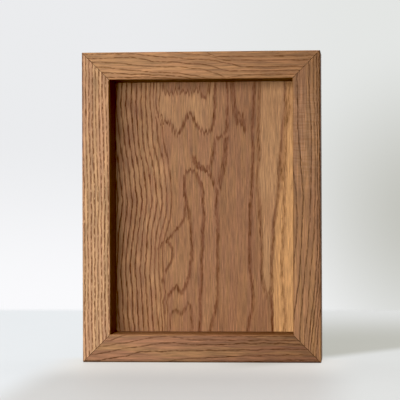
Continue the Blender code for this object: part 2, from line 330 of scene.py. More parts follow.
def straight_rings(u, v, y):
    """Close, nearly even rings, as on a quarter-sawn board."""
    wave = 0.16 * ripple(11, u, v, 110, 60) + 0.05 * ripple(12, u, v, 24, 12)
    return (v + 0.45 * y) / 3.1 + 0.003 * u + wave


# Each bar's length, the middle of its outer edge, its grain's axis and its direction inwards.
BARS = {
    "bottom_rail": (WIDTH, (0, 0), "X", 1),
    "top_rail": (WIDTH, (0, HEIGHT), "X", -1),
    "left_stile": (HEIGHT, (-WIDTH / 2, HEIGHT / 2), "Z", 1),
    "right_stile": (HEIGHT, (WIDTH / 2, HEIGHT / 2), "Z", -1),
}

FINE_STEP = 0.5 * MM
PLAIN_STEP = 1.0 * MM
ALONG_STEP = 2.4 * MM
LINE_RELIEF = 0.05 * MM
SANDING_RELIEF = 0.02 * MM

# How much larger a slot is than its biscuit, and the radius of a screw's pilot hole.
SLOT_ROOM = Matrix.Diagonal((1.02, 1.19, 1.02, 1.0))
PILOT_RADIUS = 1.6 * MM


def bar_section():
    """A bar's cross-section as (v, y) points, with eased arrises and the rebate for the panel."""
    e = EASED_EDGE
    points = straight((e, FRONT), (FACE - e, FRONT), FINE_STEP)
    points += arc((FACE - e, FRONT + e), e, -90, 0, 6)[:-1]
    corners = ((FACE, FRONT + e), (FACE, REBATE_Y), (LAND, REBATE_Y), (LAND, REAR), (e, REAR))
    for corner, after in zip(corners, corners[1:]):
        points += straight(corner, after, PLAIN_STEP)
    points += arc((e, REAR - e), e, 90, 180, 4)
    points += straight((0, REAR - e), (0, FRONT + e), FINE_STEP)[1:]
    points += arc((e, FRONT + e), e, 180, 270, 6)[:-1]
    return np.array(points)


def bar_to_world(u, v, y, origin, grain, inward):
    x0, z0 = origin
    x, z = (x0 + u, z0 + inward * v) if grain == "X" else (x0 + inward * v, z0 + u)
    return np.stack([x, y, z], -1)


def world_to_bar(points, origin, grain, inward):
    x, y, z = points.T
    across, along = (z - origin[1], x - origin[0]) if grain == "X" else (x - origin[0], z - origin[1])
    return along, across * inward, y


def ring_line(rings):
    """1 on a ring's dark line, and 0 away from it."""
    return hill(rings - np.floor(rings), 0.5, 0.13)


def relief(mesh, rings, u, v, y, half_length):
    """Sinks the open grain a little into the outer faces, and leaves a trace of hand sanding."""
    on_outside = (np.abs(u) < half_length - v - GAP) & (v > -MM) & (v < FACE + MM)
    edge = 0.05 * MM
    near_face = (y < FRONT + EASED_EDGE) | (v < EASED_EDGE) | ((v > FACE - edge) & (y < REBATE_Y - edge))
    sanding = np.maximum(1 + ripple(5, u / MM, (v + y) / MM, 26, 18), 0) / 2
    sunk = LINE_RELIEF * ring_line(rings) + SANDING_RELIEF * sanding
    depth = np.where(on_outside & near_face, sunk, 0.0)
    sunken = vectors(mesh.vertices, "co") - vectors(mesh.vertex_normals, "vector") * depth[:, None]
    move_vertices(mesh, sunken)


def joinery_cutter():
    """Every biscuit's slot and every screw's pilot hole, as one mesh."""
    tools = []
    for name, node in NODES.items():
        low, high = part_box(name)
        centre = (low + high) / 2
        if name.startswith("biscuit_"):
            widened = Matrix.Translation(centre) @ SLOT_ROOM @ Matrix.Translation(-centre)
            tools.append(moved(joined("slot", [node.data], MM / 100), widened))
        elif "_screw_" in name:
            ends = (low.y - GAP, REAR + 2 * MM)
            loops = [[(centre.x + x, y, centre.z + z) for x, z in circle(PILOT_RADIUS, 24)] for y in ends]
            tools.append(skin("pilot_hole", loops))
    return joined("joinery", tools)


def painted_light_and_shade(name, v, y):
    """Painted shade and light: 1 where a bar is darkened to stand for shade deep in the recess and for the
    contact shade along the foot, and -1 where the ledge's front is lightened as painted light.
    """
    inside = smooth(v, FACE - 0.6 * MM, FACE)
    if name != "bottom_rail":
        return inside * smooth(y, FRONT + EASED_EDGE, FRONT + 8 * MM)
    return smooth(v, 2.2 * MM, 1.2 * MM) - inside * smooth(y, PANEL[0].y, FRONT)


def oak_bar(name, cutter):
    length, origin, grain, inward = BARS[name]
    v, y = bar_section().T
    half = length / 2 - MITRE_SETBACK
    stations = np.linspace(-1, 1, round(length / ALONG_STEP))
    loops = [bar_to_world(t * (half - v), v, y, origin, grain, inward) for t in stations]
    mesh = cut(skin(name, loops), cutter.copy())
    u, v, y = world_to_bar(vectors(mesh.vertices, "co"), origin, grain, inward)
    place = (u / MM, v / MM, (y - FRONT) / MM)
    rings = drawn_rings(*place, *RING_LINES[name]) if name in RING_LINES else straight_rings(*place)
    paint(mesh, "ring", rings)
    # Painted shade and light: darker in the recess and along the foot, lighter at the ledge's front.
    paint(mesh, "painted_light_and_shade", painted_light_and_shade(name, v, y))
    relief(mesh, rings, u, v, y, half)
    add_piece("oak_" + name, mesh, (oak(name), "oak"), "frame", name)


# ---- the back panel's figure, in mm
# x runs from the middle of the opening and z from its lower edge. Each outline is an island in the
# growth rings: the sawn board crossed a bump or a hollow there.

CLOSE_SPACING = 4.5
LINE_WIDTH = 7.2

# The line between the close rings on the left and the wide figure: (z, x).
LEFT_EDGE = (
    (-10, -34), (11, -34.5), (30, -36.5), (46, -38.5), (71, -40), (82, -39), (99, -34), (108, -32),
    (122, -31), (140, -32), (157, -34), (177, -38.5), (196, -40), (209, -43.5), (225, -40.5), (245, -40))

# Where an outline has left the panel: above it, below it and past its right edge.
ABOVE, BELOW, BEYOND = 250, -20, 140

# Each island's paleness against the wood round it, the strength of its line, and its outline.
ISLANDS = {
    "upper_pocket": (0.6, 1.1, ((-47, ABOVE), (-46, 215), (-43, 200), (-38, 195), (-33, 193), (-25.5, 183),
        (-19, 193), (-13, 202), (-7, 190), (0, 184), (6, 186), (9, 197), (10, 215), (10, ABOVE))),
    "crown": (-0.8, 1.0, ((-40, ABOVE), (-38, 224), (-31, 221), (-24, 223), (-14, 221), (-6, 224),
        (0, 216), (5, 226), (7, ABOVE))),
    "right_field": (-0.3, 0.9, ((22.5, ABOVE), (21.5, 214), (21, 196), (20, 186), (16, 181), (9.5, 177),
        (8, 168), (6, 157), (4, 149), (7, 138.5), (11, 129.5), (11, 117), (11.5, 76), (11.5, 30),
        (12.5, BELOW), (BEYOND, BELOW), (BEYOND, ABOVE))),
    "seam": (-0.2, 1.0, ((18.5, 178), (17.5, 165), (15.5, 150), (13, 137), (15, 134), (18, 150), (20, 165),
        (20.5, 180))),
    "tooth": (-0.3, 1.0, ((-10.5, 163), (-7, 157), (-2, 152.5), (3, 148.5), (-1.5, 149.5), (-6, 152),
        (-10, 157))),
    "arch": (-0.1, 1.0, ((-40, BELOW), (-39, 20), (-39, 27.5), (-35.5, 32), (-31.5, 37), (-28, 40.5),
        (-26, 42.5), (-24, 37.5), (-21.5, 36), (-18.5, 41.5), (-16.5, 48), (-15, 54.5), (-14, 62),
        (-12, 68.5), (-12, 77.5), (-13, 87), (-14, 96), (-15, 105.5), (-16.5, 117), (-18.5, 131),
        (-19, 142.5), (-17, 148), (-12.5, 149.5), (-8, 147), (-4.5, 138.5), (-1.5, 129.5), (-1.5, 117),
        (-0.5, 108), (-1.5, 94), (-2.5, 76), (-3.5, 48), (-4.5, 11), (-4.5, BELOW))),
    "ember": (0.0, 0.6, ((-35, BELOW), (-34, 11), (-30, 18.5), (-26.5, 19.5), (-22.5, 16.5), (-19, 21.5),
        (-15.5, 26), (-13, 15), (-12, BELOW))),
    "fork": (-0.4, 0.9, ((23, ABOVE), (24, 228), (25, 212), (28, 203), (30, 194), (32, 192.5), (34, 196),
        (36, 190), (38, 185), (36, 197), (33, 201), (30, 203), (28, 212), (27.5, 228), (27, ABOVE))),
    "far_pair": (-0.05, 1.0, ((46.5, ABOVE), (46.5, 233), (45, 205), (44.5, 177), (44, 150), (42.5, 122),
        (41.5, 94), (41, 76), (41.5, 57), (43, 39), (44.5, 25), (44.5, BELOW), (BEYOND, BELOW),
        (BEYOND, ABOVE))),
    "near_pair": (1.1, 0.6, ((51, ABOVE), (50.5, 205), (50, 177), (49, 159), (49, 131), (50.5, 112),
        (51.5, 94), (52.5, 76), (52, 57), (53, 48), (54.5, 40.5), (57.5, 34), (61.5, 40.5), (62, 57),
        (63, 76), (64, 94), (66, 113), (68, 131), (69.5, 150), (71.5, 168), (72.5, 187), (74.5, 205),
        (75.5, 224), (76.5, ABOVE))),
    "streak": (0.0, 0.4, ((78, ABOVE), (78, 205), (77, 196), (75, 177), (73.5, 150), (73, 131), (73, 94),
        (71.5, 76), (71, 57), (70.5, 43), (71.5, 34), (73.5, 25), (74.5, 10), (74.5, BELOW),
        (BEYOND, BELOW), (BEYOND, ABOVE))),
}

# Single lines that end in the open.
STROKES = {
    "fold": ((-17.5, 120), (-18.5, 108), (-21.5, 101.5), (-25, 97), (-29, 92.5), (-31.5, 88.5), (-36, 84)),
    "eye": ((-42.5, 76.5), (-40, 81.5), (-36, 83), (-32.5, 80.5), (-30.5, 75), (-30.5, 69), (-32.5, 63.5),
        (-35.5, 58), (-38, 52.5), (-40, 46)),
    "sapwood_foot": ((60.5, 34), (61.5, 24), (62.5, 12), (63, 0), (64, -10)),
}

# The left edge of the sapwood: (z, x).
SAPWOOD_EDGE = (
    (0, 63), (16, 62.5), (35, 61), (57, 62), (76, 63), (94, 64), (113, 66), (131, 68), (150, 69.5),
    (168, 71.5), (187, 72.5), (205, 74.5), (231, 76))


def left_edge_at(z, depth):
    """Where the close rings' edge lies. Its bends fade out deeper into the close rings."""
    calm = np.interp(z, (0, 57, 122, 195, 245), (-35, -38, -32, -41, -42))
    edge_z, edge_x = curve_through(LEFT_EDGE).T
    return calm + (np.interp(z, edge_z, edge_x) - calm) * (1 - 0.8 * smooth(depth, 0, 18))


def panel_figure(x, z):
    """The growth rings, the paleness and the strength of the ring lines at each place."""
    raggedness = 0.25 + 0.75 * np.maximum(smooth(z, 118, 135), smooth(x, 20, 40))
    ragged = z + raggedness * (2.4 * ripple(57, x, z, 3.4, 40) + 1.2 * ripple(58, x, z, 1.8, 25))
    edge = left_edge_at(ragged, -36 - x)
    rings = -np.maximum((edge - x) / CLOSE_SPACING + 0.5, 0.0)
    close = smooth(edge - x, 0, 8)
    rings = rings + close * (0.12 * ripple(54, z, x, 60, 25) + 0.035 * ripple(60, z, x, 14, 9))
    rings = np.floor(rings) + np.clip((rings - np.floor(rings) - 0.5) / 0.72 + 0.5, 0, 1)
    mottle = 0.16 * ripple(61, z, x, 34, 14) * close
    paleness = 0.15 * ripple(59, z, x, 70, 20) + 0.35 * close + mottle
    strength = 1 + 0.25 * close
    bend = 0.5 * ripple(52, z, x, 50, 30)
    for weight, line, outline in ISLANDS.values():
        depth = depth_inside(x + bend, ragged, curve_through(outline, 5))
        share = np.clip(depth / LINE_WIDTH + 0.5, 0.0, 1.0)
        rings = rings + share
        paleness = paleness + weight * share
        strength = strength * (1 - (1 - line) * hill(share, 0.5, 0.35))
    for line in STROKES.values():
        stroke = 0.5 - distance_to(x + bend, ragged, curve_through(line, 5)) / LINE_WIDTH
        rings = np.floor(rings) + np.maximum(rings - np.floor(rings), stroke)
    return rings, np.clip(paleness, -1.0, 1.0), strength


def sapwood(x, z):
    """How far a place lies in the pale orange sapwood along the right edge."""
    z = z + 3.0 * ripple(62, x, z, 3.0, 60)
    edge = np.interp(z, *zip(*SAPWOOD_EDGE))
    return smooth(x - edge, -1.0, 2.0) * (0.75 + 0.25 * smooth(x - edge, 3, 9))


PANEL_STEP_X = 0.7 * MM
PANEL_STEP_Z = 1.5 * MM
PANEL_RELIEF = 0.03 * MM
REAR_STRENGTH = 0.6


def panel_grid():
    """The panel as two dense grids, front and back, with its edges between them."""
    low, high = PANEL
    xs = np.linspace(low.x, high.x, round((high.x - low.x) / PANEL_STEP_X) + 1)
    zs = np.linspace(low.z, high.z, round((high.z - low.z) / PANEL_STEP_Z) + 1)
    x, z = np.meshgrid(xs, zs)
    front = np.stack([x, np.full(x.shape, low.y), z], -1).reshape(-1, 3)
    back = front + (0, high.y - low.y, 0)
    index = np.arange(x.size).reshape(x.shape)
    quads = np.stack([index[:-1, :-1], index[:-1, 1:], index[1:, 1:], index[1:, :-1]], -1).reshape(-1, 4)
    rim = np.concatenate([index[0, :-1], index[:-1, -1], index[-1, :0:-1], index[:0:-1, 0]])
    sides = np.stack([rim, np.roll(rim, -1), np.roll(rim, -1) + x.size, rim + x.size], -1)
    faces = np.concatenate([quads, quads[:, ::-1] + x.size, sides]).tolist()
    return mesh_of("panel", np.concatenate([front, back]), faces)


def back_panel():
    mesh = panel_grid()
    points = vectors(mesh.vertices, "co")
    x, z = points[:, 0] / MM, (points[:, 2] - FACE) / MM
    at_front = points[:, 1] < PANEL[0].y + MM
    rings, paleness, strength = panel_figure(x, z)
    wander = 2.5 * ripple(56, z, x, 150, 60) + 0.9 * ripple(55, x, z, 6, 90)
    plain = (np.hypot(x - 9, 24) - 0.15 * z + wander) / 6.5
    fields = {"ring": (rings, plain), "sapwood": (sapwood(x, z), 0.0), "paleness": (paleness, 0.0),
              "strength": (strength, REAR_STRENGTH)}
    for name, (front, rear) in fields.items():
        paint(mesh, name, np.where(at_front, front, rear))
    points[:, 1] += np.where(at_front, PANEL_RELIEF * ring_line(rings), 0.0)
    move_vertices(mesh, points)
    add_piece("veneered_back_panel", mesh, (oak("back_panel"), "oak_veneer"), "frame", "back_panel")
    mesh.materials.append(ply_edge())
    for face in mesh.polygons:
        face.material_index = int(abs(face.normal.y) < 0.5)


# ---- metal and rubber pieces


def centre_of(node):
    low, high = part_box(node)
    return (low + high) / 2


FACING_REAR = Matrix.Rotation(-math.pi / 2, 4, "X")
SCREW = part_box("turn_button_screw_top")
HEAD_RADIUS = (SCREW[1].x - SCREW[0].x) / 2
SCREW_REACH = SCREW[1].y - SCREW[0].y
HEAD_HEIGHT = 1.7 * MM
SHANK_RADIUS = 1.3 * MM
ROOT_RADIUS = 0.92 * MM
THREAD_PITCH = 1.15 * MM
POINT_LENGTH = 3.0 * MM

# How far each screw has been turned past the last, in radians.
CROSS_TURN = 0.7


def screw_profile():
    """(radius, height) down the outside of the head, from the crown to the shank."""
    crown = [(HEAD_RADIUS * f, HEAD_HEIGHT - 0.42 * MM * f**3) for f in (0.12, 0.3, 0.5, 0.66, 0.78, 0.86)]
    shoulder = arc((HEAD_RADIUS - 0.5 * MM, 0.62 * MM), 0.5 * MM, 62, 0, 4)
    foot = [(HEAD_RADIUS, 0.18 * MM), (HEAD_RADIUS - 0.12 * MM, 0.03 * MM), (HEAD_RADIUS - 0.3 * MM, 0.0)]
    return crown + shoulder + foot + [(1.5 * MM, 0.0), (1.28 * MM, -0.15 * MM)]


def screw_blank():
    """Head and threaded shank in one skin. It points along -Z with the head's underside at z 0."""
    steps = 36
    turns = np.arange(steps) * TURN / steps
    loops = turned_loops(screw_profile(), steps)
    length = SCREW_REACH - HEAD_HEIGHT
    for z in np.arange(0.35 * MM, length, 0.15 * MM):
        taper = min(1.0, (length - z) / POINT_LENGTH)
        started = smooth(z, 0.6 * MM, 1.6 * MM)
        thread = 1 - np.abs(2 * ((z / THREAD_PITCH - turns / TURN) % 1.0) - 1)
        crest = ROOT_RADIUS + (SHANK_RADIUS - ROOT_RADIUS) * smooth(thread, 0.45, 0.95) * started
        radius = np.maximum(crest * taper, 0.05 * MM)
        loops.append(level(circle(1.0, steps) * radius[:, None], -z))
    return skin("screw", loops)


def cross_recess():
    """A cutter with two tapered arms at right angles."""
    arms = []
    for turn in (0.0, math.pi / 2):
        loops = []
        for arm, slot, z in ((1.7, 0.44, 0.2), (1.45, 0.36, -0.25), (0.75, 0.2, -1.1)):
            rectangle = ((arm, slot), (-arm, slot), (-arm, -slot), (arm, -slot))
            loops.append([(x * MM, y * MM, HEAD_HEIGHT + z * MM) for x, y in rectangle])
        arms.append(moved(skin("arm", loops), Matrix.Rotation(turn, 4, "Z")))
    return arms


def screw_mesh():
    screw = screw_blank()
    for arm in cross_recess():
        screw = cut(screw, arm)
    return screw


def screws(metal):
    shape = screw_mesh()
    names = ["turn_button_screw_" + name for name in BUTTONS]
    names += ["hanger_screw_" + name for name in STRAP_SCREWS]
    for step, node in enumerate(names):
        place = centre_of(node)
        place.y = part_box(node)[1].y - HEAD_HEIGHT
        cross = Matrix.Rotation(step * CROSS_TURN, 4, "Z")
        mesh = copied(shape, place, FACING_REAR @ cross)
        add_piece("pan_head_" + node, mesh, metal, "frame", node, sharp=35)


def button_outline(steps, inset=0.0):
    """A teardrop with its pivot at the origin and its round tip along +X."""
    heel, tip, reach = 4.8 * MM - inset, 3.4 * MM - inset, 15.5 * MM
    side = math.degrees(math.acos((heel - tip) / reach))
    points = arc((0, 0), heel, side, 360 - side, steps)
    tangent = math.radians(-side)
    points += straight(points[-1], (reach + tip * math.cos(tangent), tip * math.sin(tangent)), MM)[1:]
    points += arc((reach, 0), tip, -side, side, steps)
    points += straight(points[-1], points[0], MM)[1:]
    return np.array(points)


def turn_button_mesh():
    """Pressed sheet with rounded edges and a hole at the pivot."""
    thickness, edge, hole, bevel = 1.2 * MM, 0.3 * MM, 1.62 * MM, 0.15 * MM
    outer, inner = button_outline(24), button_outline(24, edge)
    angles = np.arctan2(outer[:, 1], outer[:, 0])
    rim = np.stack([np.cos(angles), np.sin(angles)], -1)
    mouth = rim * (hole + bevel)
    loops = [level(rim * hole, bevel), level(rim * hole, thickness - bevel), level(mouth, thickness)]
    for share in (0.15, 0.3, 0.45, 0.6, 0.72, 0.84, 0.94):
        loops.append(level(mouth * (1 - share) + inner * share, thickness))
    for turns, face, inwards in (((90, 60, 30, 0), thickness, -edge), ((0, 30, 60, 90), 0.0, edge)):
        for turn in np.radians(turns):
            outline = outer + (inner - outer) * (1 - math.cos(turn))
            loops.append(level(outline, face + inwards * (1 - math.sin(turn))))
    loops.append(level(mouth, 0.0))
    return skin("turn_button", loops, closed=True)


def turn_buttons(metal):
    shape = turn_button_mesh()
    for name in BUTTONS:
        screw, plate = centre_of("turn_button_screw_" + name), centre_of("turn_button_" + name)
        turn = math.atan2(plate.z - screw.z, plate.x - screw.x)
        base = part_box("turn_button_" + name)[1].y
        flat = Matrix.Rotation(-turn, 4, "Y") @ Matrix.Rotation(math.pi / 2, 4, "X")
        mesh = copied(shape, (screw.x, base, screw.z), flat)
        add_piece("pressed_turn_button_" + name, mesh, metal, name + "_button", "turn_button_" + name)


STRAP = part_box("hanger_strap_left")
STRAP_GAUGE = 0.9 * MM
LOOP_OUTER = (STRAP[1].y - STRAP[0].y) / 2
LOOP_AXIS = Vector((0, (STRAP[0].y + STRAP[1].y) / 2, STRAP[1].z - LOOP_OUTER))


def strap_band():
    """The strap's strip of sheet, from its round foot up and over the ring's bar, centred on x 0."""
    radius = LOOP_OUTER - STRAP_GAUGE / 2
    foot, half, face = STRAP[0].z, (STRAP[1].x - STRAP[0].x) / 2, LOOP_AXIS.y - radius
    rise = [half * (1 - math.cos(a)) for a in np.linspace(0.12, math.pi / 2, 12)]
    flat = list(np.linspace(half, LOOP_AXIS.z - foot, 24))[1:]
    path = [(face, foot + s, 90.0, math.sqrt(half**2 - (half - s) ** 2)) for s in rise]
    path += [(face, foot + s, 90.0, half) for s in flat]
    for turn in np.linspace(0, 285, 36)[1:]:
        a = math.radians(turn)
        y, z = LOOP_AXIS.y - radius * math.cos(a), LOOP_AXIS.z + radius * math.sin(a)
        path.append((y, z, 90 - turn, half))
    loops = []
    for y, z, heading, width in path:
        out = math.radians(heading + 90)
        dy, dz = math.cos(out), math.sin(out)
        loops.append([(x, y + n * dy, z + n * dz) for x, n in rounded_strip(width, STRAP_GAUGE)])
    return skin("strap", loops)


def rounded_strip(half_width, gauge):
    """A flat rectangle with rounded corners, as (across, through) points."""
    r = min(0.25 * MM, half_width * 0.6)
    w, g = half_width - r, gauge / 2 - r
    points = []
    for x, n, start in ((w, g, 0), (-w, g, 90), (-w, -g, 180), (w, -g, 270)):
        points += arc((x, n), r, start, start + 90, 3)
    return points


def hanger_strap_mesh(holes):
    """The strap with a dimpled screw hole at each height given."""
    mesh = strap_band()
    front, back = STRAP[0].y - MM, STRAP[0].y + STRAP_GAUGE
    for height in holes:
        loops = []
        for radius, y in ((1.62, front), (1.62, back - 0.2 * MM), (1.85, back), (1.85, back + 0.6 * MM)):
            loops.append([(x, y, height + z) for x, z in circle(radius * MM, 32)])
        mesh = cut(mesh, skin("hole", loops))
    return mesh


def ring_path():
    """A D in the XZ plane: its straight bar lies on the X axis and its bow hangs below."""
    half, corner, side = 7.0 * MM, 2.2 * MM, 4.0 * MM
    path = straight((-(half - corner), 0), (half - corner, 0), 0.8 * MM)
    path += arc((half - corner, -corner), corner, 90, 0, 8)
    path += straight((half, -corner), (half, -side), 0.6 * MM)[1:]
    path += arc((0, -side), half, 0, -180, 40)
    path += straight((-half, -side), (-half, -corner), 0.6 * MM)[1:]
    path += arc((-(half - corner), -corner), corner, 180, 90, 8)[:-1]
    return np.array(path)


def hanger_ring_mesh():
    path = ring_path()
    ahead, behind = np.roll(path, -1, 0), np.roll(path, 1, 0)
    heading = (ahead - behind) / np.linalg.norm(ahead - behind, axis=1)[:, None]
    outward = np.stack([-heading[:, 1], heading[:, 0]], -1)
    loops = []
    for (x, z), (nx, nz) in zip(path, outward):
        loops.append([(x + nx * a, b, z + nz * a) for a, b in circle(1.1 * MM, 20)])
    return skin("d_ring", loops, closed=True)


def hangers(metal):
    ring = hanger_ring_mesh()
    for side in SIDES:
        x = centre_of("hanger_strap_" + side).x
        holes = [centre_of(f"hanger_screw_{side}_{level}").z for level in ("upper", "lower")]
        strap = copied(hanger_strap_mesh(holes), (x, 0, 0))
        add_piece("folded_strap_" + side, strap, metal, "frame", "hanger_strap_" + side)
        mesh = copied(ring, (x, LOOP_AXIS.y, LOOP_AXIS.z))
        add_piece("d_ring_" + side, mesh, metal, side + "_ring", "hanger_ring_" + side)


def bumpers(finish):
    """Moulded discs with a soft rim, a parting line and a shallow dish in the top."""
    low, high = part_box("bumper_left")
    radius, tall, rounding = (high.x - low.x) / 2, high.y - low.y, 1.5 * MM
    shoulder, side, dish = radius - rounding - 0.1 * MM, radius - 0.05 * MM, tall - 0.12 * MM
    profile = [(0.1 * MM, dish), (1.2 * MM, dish), (1.5 * MM, tall), (shoulder, tall)]
    profile += arc((shoulder, tall - rounding), rounding, 80, 0, 8)
    profile += [(radius - 0.06 * MM, 1.3 * MM), (radius, 1.2 * MM), (radius, 1.1 * MM), (side, 1.0 * MM)]
    profile += [(side, 0.25 * MM), (radius - 0.2 * MM, 0.0), (0.1 * MM, 0.0)]
    shape = skin("bumper", turned_loops(profile, 48))
    for side in SIDES:
        centre = centre_of("bumper_" + side)
        mesh = copied(shape, (centre.x, low.y, centre.z), FACING_REAR)
        add_piece("moulded_bumper_" + side, mesh, finish, "frame", "bumper_" + side)


# ---- material tools


def tone(code):
    """A colour from its six-digit sRGB code, as linear RGBA."""
    parts = [int(code[i:i + 2], 16) / 255 for i in (0, 2, 4)]
    return [c / 12.92 if c <= 0.04045 else ((c + 0.055) / 1.055) ** 2.4 for c in parts] + [1.0]


class Graph:
    """Short names for building one node tree. Each call returns an output socket."""

    def __init__(self, tree):
        self.tree = tree
        self.tree.nodes.clear()

    def node(self, kind, inputs, out=0, **settings):
        made = self.tree.nodes.new("ShaderNode" + kind)
        for name, value in settings.items():
            setattr(made, name, value)
        for key, value in inputs.items():
            if isinstance(value, bpy.types.NodeSocket):
                self.tree.links.new(value, made.inputs[key])
            else:
                made.inputs[key].default_value = value
        return made.outputs[out] if made.outputs else None

    def math(self, operation, a, b=0.0):
        return self.node("Math", {0: a, 1: b}, operation=operation)

    def add(self, a, b):
        return self.math("ADD", a, b)

    def times(self, a, b):
        return self.math("MULTIPLY", a, b)

    def line(self, value, low, high, to_low=0.0, to_high=1.0, kind="LINEAR"):
        """The value taken evenly from one range to another, and held at the ends."""
        inputs = {"Value": value, "From Min": low, "From Max": high, "To Min": to_low, "To Max": to_high}
        return self.node("MapRange", inputs, interpolation_type=kind)

    def span(self, *ranges):
        """The same as line, with a smooth step between the ends."""
        return self.line(*ranges, kind="SMOOTHSTEP")

    def mix(self, factor, a, b, blend="MIX"):
        inputs = {0: factor, 6: a, 7: b}
        return self.node("Mix", inputs, 2, data_type="RGBA", blend_type=blend)

    def shaded(self, colour, factor):
        """The colour times one number."""
        grey = self.node("CombineColor", {0: factor, 1: factor, 2: factor})
        return self.mix(1.0, colour, grey, "MULTIPLY")

    def attribute(self, name):
        return self.node("Attribute", {}, "Fac", attribute_name=name)

    def place(self):
        """The place in the row frame, in metres."""
        return self.node("TexCoord", {}, "Object")

    def split(self, vector):
        return self.node("SeparateXYZ", {0: vector}).node.outputs

    def measure(self, operation, a, b=(0.0, 0.0, 0.0)):
        """One number worked out from one vector or two."""
        return self.node("VectorMath", {0: a, 1: b}, "Value", operation=operation)

    def stretch(self, vector, scale, shift=0.0):
        """The vector with its parts scaled and shifted, by one number or by three."""
        inputs = {0: vector, 1: np.broadcast_to(scale, 3), 2: np.broadcast_to(shift, 3)}
        return self.node("VectorMath", inputs, operation="MULTIPLY_ADD")

    def noise(self, place, scale, detail=2.0, shift=0.0):
        inputs = {"Vector": self.stretch(place, scale, shift), "Scale": 1.0, "Detail": detail}
        return self.node("TexNoise", inputs, "Fac")

    def cells(self, place, scale, shift=0.0):
        inputs = {"Vector": self.stretch(place, scale, shift), "Scale": 1.0}
        return self.node("TexVoronoi", inputs, "Distance")

    def millimetres(self, order="XYZ"):
        """The place in the row frame in mm, with its axes in the order given."""
        place = self.place()
        if order != "XYZ":
            parts = self.split(place)
            place = self.node("CombineXYZ", {i: parts[axis] for i, axis in enumerate(order)})
        return self.stretch(place, 1 / MM)

    def bump(self, height_mm):
        return self.node("Bump", {"Height": height_mm, "Distance": MM})

    def surface(self, **inputs):
        """A Principled surface that takes its inputs by name, with _ for a space."""
        named = {name.replace("_", " "): value for name, value in inputs.items()}
        self.output(self.node("BsdfPrincipled", named))

    def output(self, shader):
        self.node("OutputMaterial", {0: shader})


def new_material(name):
    made = bpy.data.materials.new(name)
    made.use_nodes = True
    return made, Graph(made.node_tree)


# ---- oak

# A board's colours: golden and pinkish heartwood, a tint that deepens towards its far end, the rings'
# dark lines and the open pores. jag is how far a ring line wanders, in ring widths, gaps is the
# strength of the faintest part of a line, and shift keeps the boards apart.
BOARDS = {
    "left_stile": dict(
        gold="b7916b", pink="b38969", tint="efece8", dark="643a1c", pore="4a2c17",
        jag=0.3, shift=0.0, gaps=0.12),
    "right_stile": dict(
        gold="946c47", pink="906748", tint="e4dfdc", dark="4f2f16", pore="3a230f",
        jag=0.25, shift=90.0, gaps=0.5),
    "top_rail": dict(
        gold="a17852", pink="9e7350", tint="d0c8c0", dark="5f3a1b", pore="45290f",
        jag=0.25, shift=180.0, gaps=0.4),
    "bottom_rail": dict(
        gold="946e4b", pink="92674c", tint="c6bdb6", dark="523016", pore="3d2310",
        jag=0.25, shift=270.0, gaps=0.4),
    "back_panel": dict(
        gold="8e6644", pink="8c6246", tint="ffffff", dark="562403", pore="3f230c",
        pale="a47c57", dull="795137", sapwood="b98b5c", jag=0.5, shift=360.0, gaps=0.75),
}


# The wood's streaks: their waves a mm across and along the grain, and the darkest and palest they make
# a bar and the panel.
STREAK_WAVES = ((0.25, 0.008), (0.6, 0.03), (1.1, 0.06), (2.4, 0.09))
BAR_STREAKS = ((0.88, 1.10), (0.78, 1.18), (0.72, 1.22), (0.80, 1.16))
PANEL_STREAKS = ((0.94, 1.05), (0.87, 1.10), (0.70, 1.24), (0.78, 1.18))

# Where a board's tint sets in and is complete along its grain, in mm.
RAIL_TINT = (-90, 110)
UPRIGHT_TINT = (30, 250)


def ring_marks(g, board, grain):
    """How strongly a ring's line is drawn at each place, and how far it lies in porous early wood."""
    ring = g.add(g.attribute("ring"), g.times(g.add(grain(0.9, 0.15), -0.5), board["jag"]))
    phase = g.math("FRACT", ring)
    early = g.times(g.span(phase, 0.22, 0.45), g.span(phase, 0.55, 0.92, 1.0, 0.0))
    vigour = g.node("TexWhiteNoise", {"W": g.math("FLOOR", ring)}, "Value", noise_dimensions="1D")
    dashes = g.span(grain(0.6, 0.24, 1.0), 0.34, 0.54, board["gaps"], 1.0)
    return g.times(g.times(early, dashes), g.line(vigour, 0.0, 1.0, 0.7, 1.0)), early


def clear_wood(g, name, place, grain):
    """A board's colour between its ring lines."""
    board = BOARDS[name]
    along = g.split(place)["Z"]
    colour = g.mix(g.span(grain(0.22, 0.012), 0.38, 0.62), tone(board["gold"]), tone(board["pink"]))
    if name == "back_panel":
        colour = g.mix(g.line(g.attribute("paleness"), 0.0, 1.0), colour, tone(board["pale"]))
        colour = g.mix(g.line(g.attribute("paleness"), 0.0, -1.0), colour, tone(board["dull"]))
        colour = g.mix(g.attribute("sapwood"), colour, tone(board["sapwood"]))
    if name == "right_stile":
        colour = shimmer(g, place, along, colour)
    tint_span = RAIL_TINT if name.endswith("rail") else UPRIGHT_TINT
    tint = g.mix(g.span(along, *tint_span), tone("ffffff"), tone(board["tint"]))
    colour = g.mix(1.0, colour, tint, "MULTIPLY")
    streaks = PANEL_STREAKS if name == "back_panel" else BAR_STREAKS
    for wave, (darkest, palest) in zip(STREAK_WAVES, streaks):
        colour = g.shaded(colour, g.line(grain(*wave, 3.0), 0.32, 0.68, darkest, palest))
    return colour


def shimmer(g, place, along, colour):
    """Ray fleck: short bright and dull bands across the grain in the board's upper part."""
    bands = g.noise(place, (0.10, 0.10, 0.75))
    upper = g.times(g.span(along, 130, 190), g.span(along, 235, 262, 1.0, 0.0))
    return g.mix(g.times(upper, g.line(bands, 0.35, 0.65, 0.0, 0.4)), colour, tone("ad8768"))


